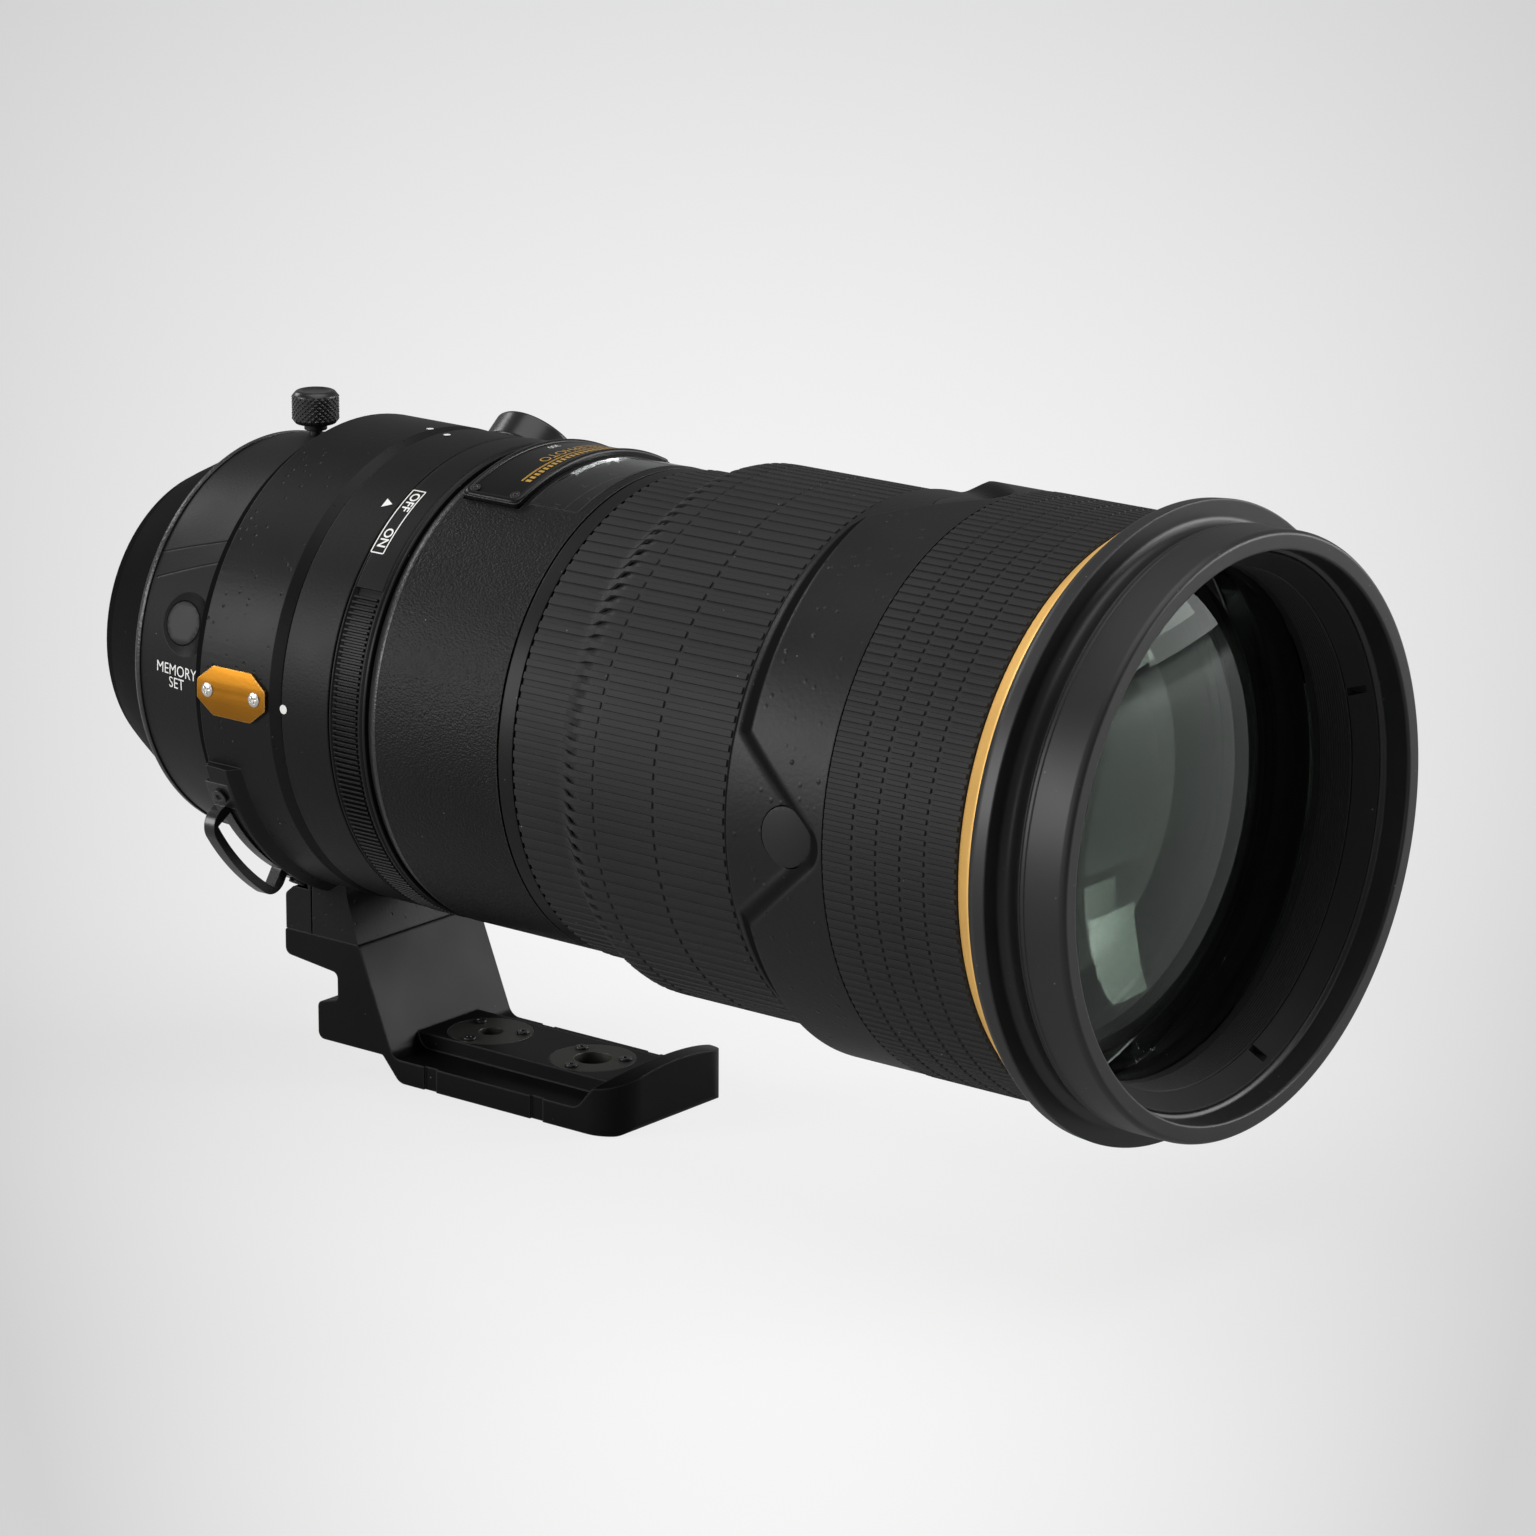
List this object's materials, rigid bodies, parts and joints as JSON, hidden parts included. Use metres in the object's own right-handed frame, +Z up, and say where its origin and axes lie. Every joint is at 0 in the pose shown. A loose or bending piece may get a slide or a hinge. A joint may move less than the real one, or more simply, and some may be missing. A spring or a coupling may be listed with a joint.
{
  "type": "telephoto lens",
  "caption": "Long camera lens with a rotating tripod collar and foot, ribbed focus grip, drop-in filter drawer, stabiliser switch ring, focus buttons and a wide recessed front element.",
  "frame": {"origin": "centre of the camera-side mounting flange's rear face, on the optical axis", "axes": "+X along the optical axis to the front of the lens, +Z up, away from the tripod foot, +Y to the side of the collar's lock knob"},
  "size_m": [0.273, 0.124, 0.147],
  "materials": {
    "mount_steel": "machined and chrome plated, fine turning marks",
    "casing_paint": "semi-matte black with a fine crinkle",
    "collar_paint": "semi-matte black crinkle, bright worn edges",
    "foot_paint": "satin black",
    "front_paint": "satin black with a light crinkle",
    "hood_paint": "smooth satin black, a little dusty",
    "inner_metal": "black anodised",
    "drive_metal": "plain machined",
    "motor_steel": "ground",
    "grip_rubber": "matt ribbed rubber",
    "ring_plastic": "matt black moulding",
    "button_rubber": "soft matt button",
    "knob_black": "satin black, knurled or turned",
    "gold_anodised": "gold anodised, turned",
    "gold_plate": "gold, bevelled edge",
    "plate_black": "smooth black plate with a raised rim",
    "screw_black": "blackened",
    "optical_glass": "coated, faint green and grey reflections",
    "window_glass": "polished clear window",
    "socket_steel": "blackened steel bush",
    "contact_plastic": "black moulding",
    "contact_gold": "gold plated pins",
    "board_resin": "lacquered board",
    "blade_steel": "matt black blades"
  },
  "bodies": {
    "chassis": {"mount_ring": "mount_steel", "mount_screws": "mount_steel", "contact_block": "contact_plastic", "contact_pins": "contact_gold", "rear_barrel": "casing_paint", "inner_barrel": "inner_metal", "index_ring": "casing_paint", "main_barrel": "casing_paint", "top_plate": "plate_black", "cover_screws": "screw_black", "distance_window": "window_glass", "front_barrel": "front_paint", "front_grip": "grip_rubber", "gold_ring": "gold_anodised", "front_tube": "hood_paint", "retaining_ring": "inner_metal", "front_baffle": "inner_metal", "front_glass": "optical_glass", "front_cell": "inner_metal", "front_element": "optical_glass", "second_element": "optical_glass", "motor_stator": "motor_steel", "stabiliser_housing": "inner_metal", "iris_housing": "inner_metal", "iris_blades": "blade_steel", "rear_cell": "inner_metal", "rear_element": "optical_glass", "main_board": "board_resin", "switch_panel": "plate_black"},
    "lock": {"lock_knob": "knob_black"},
    "focus_control": {"focus_ring": "ring_plastic", "focus_grip": "grip_rubber"},
    "focus_drive": {"distance_scale": "ring_plastic", "cam_sleeve": "drive_metal", "motor_rotor": "motor_steel"},
    "focus_group": {"focus_cell": "drive_metal", "focus_element": "optical_glass"},
    "stabiliser_control": {"switch_ring": "ring_plastic"},
    "top_button": {"focus_button_top": "button_rubber"},
    "near_button": {"focus_button_near": "button_rubber"},
    "bottom_button": {"focus_button_bottom": "button_rubber"},
    "far_button": {"focus_button_far": "button_rubber"},
    "memory_control": {"memory_button": "button_rubber"},
    "mode_control": {"focus_mode_slider": "ring_plastic"},
    "range_control": {"focus_range_slider": "ring_plastic"},
    "stabiliser_mode_control": {"stabiliser_slider": "ring_plastic"},
    "recall_control": {"recall_slider": "ring_plastic"},
    "drawer": {"filter_drawer": "casing_paint", "filter_glass": "optical_glass"},
    "drawer_lock": {"filter_knob": "knob_black"},
    "iris_control": {"aperture_ring": "inner_metal"},
    "stabiliser_y": {"stabiliser_frame": "inner_metal"},
    "stabiliser_z": {"stabiliser_cell": "inner_metal", "stabiliser_element": "optical_glass"},
    "collar": {"collar_ring": "collar_paint", "collar_foot": "foot_paint", "foot_sockets": "socket_steel", "collar_screws": "screw_black", "strap_lugs": "knob_black", "side_plate": "gold_plate"}
  },
  "joints": [
    {"name": "collar_turn", "type": "hinge", "parent": "chassis", "child": "collar", "pos_m": [0.05375, 0, 0], "axis": [1, 0, 0], "continuous": true},
    {"name": "lock_turn", "type": "hinge", "parent": "collar", "child": "lock", "pos_m": [0.0543, 0, 0], "axis": [0, 0.766, 0.6428], "range_deg": [0, 270]},
    {"name": "focus_turn", "type": "hinge", "parent": "chassis", "child": "focus_control", "pos_m": [0.1548, 0, 0], "axis": [1, 0, 0], "range_deg": [0, 150]},
    {"name": "drive_turn", "type": "hinge", "parent": "chassis", "child": "focus_drive", "pos_m": [0.145, 0, 0], "axis": [1, 0, 0], "range_deg": [0, 75]},
    {"name": "focus_travel", "type": "slide", "parent": "chassis", "child": "focus_group", "axis": [-1, 0, 0], "range_m": [0, 0.014]},
    {"name": "stabiliser_switch_turn", "type": "hinge", "parent": "chassis", "child": "stabiliser_control", "pos_m": [0.085, 0, 0], "axis": [-1, 0, 0], "range_deg": [0, 12]},
    {"name": "top_button_press", "type": "slide", "parent": "chassis", "child": "top_button", "axis": [0, 0, -1], "range_m": [0, 0.0008], "stiffness_N_per_m": 600, "springref_m": -0.0003},
    {"name": "near_button_press", "type": "slide", "parent": "chassis", "child": "near_button", "axis": [0, 1, 0], "range_m": [0, 0.0008], "stiffness_N_per_m": 600, "springref_m": -0.0003},
    {"name": "bottom_button_press", "type": "slide", "parent": "chassis", "child": "bottom_button", "axis": [0, 0, 1], "range_m": [0, 0.0008], "stiffness_N_per_m": 600, "springref_m": -0.0003},
    {"name": "far_button_press", "type": "slide", "parent": "chassis", "child": "far_button", "axis": [0, -1, 0], "range_m": [0, 0.0008], "stiffness_N_per_m": 600, "springref_m": -0.0003},
    {"name": "memory_press", "type": "slide", "parent": "chassis", "child": "memory_control", "axis": [0, 0.9636, -0.2672], "range_m": [0, 0.0008], "stiffness_N_per_m": 600, "springref_m": -0.0003},
    {"name": "mode_slide", "type": "hinge", "parent": "chassis", "child": "mode_control", "pos_m": [0.107, 0, 0], "axis": [1, 0, 0], "range_deg": [0, 6]},
    {"name": "range_slide", "type": "hinge", "parent": "chassis", "child": "range_control", "pos_m": [0.107, 0, 0], "axis": [1, 0, 0], "range_deg": [0, 6]},
    {"name": "stabiliser_mode_slide", "type": "hinge", "parent": "chassis", "child": "stabiliser_mode_control", "pos_m": [0.107, 0, 0], "axis": [1, 0, 0], "range_deg": [0, 6]},
    {"name": "recall_slide", "type": "hinge", "parent": "chassis", "child": "recall_control", "pos_m": [0.107, 0, 0], "axis": [1, 0, 0], "range_deg": [0, 6]},
    {"name": "drawer_lift", "type": "slide", "parent": "chassis", "child": "drawer", "axis": [0, 0, 1], "range_m": [0, 0.06]},
    {"name": "drawer_lock_turn", "type": "hinge", "parent": "drawer", "child": "drawer_lock", "pos_m": [0.0318, 0, 0], "axis": [0, 0, 1], "range_deg": [0, 90]},
    {"name": "iris_turn", "type": "hinge", "parent": "chassis", "child": "iris_control", "pos_m": [0.0212, 0, 0], "axis": [1, 0, 0], "range_deg": [0, 14], "stiffness_Nm_per_rad": 0.02, "springref_deg": -5.73},
    {"name": "stabiliser_shift_y", "type": "slide", "parent": "chassis", "child": "stabiliser_y", "axis": [0, 1, 0], "range_m": [-0.0012, 0.0012], "stiffness_N_per_m": 2000},
    {"name": "stabiliser_shift_z", "type": "slide", "parent": "stabiliser_y", "child": "stabiliser_z", "axis": [0, 0, 1], "range_m": [-0.0012, 0.0012], "stiffness_N_per_m": 2000}
  ],
  "couplings": [
    {"joint": "drive_turn", "follows": "focus_turn", "ratio": 0.5},
    {"joint": "focus_travel", "follows": "focus_turn", "m_per_rad": 0.0053476}
  ]
}
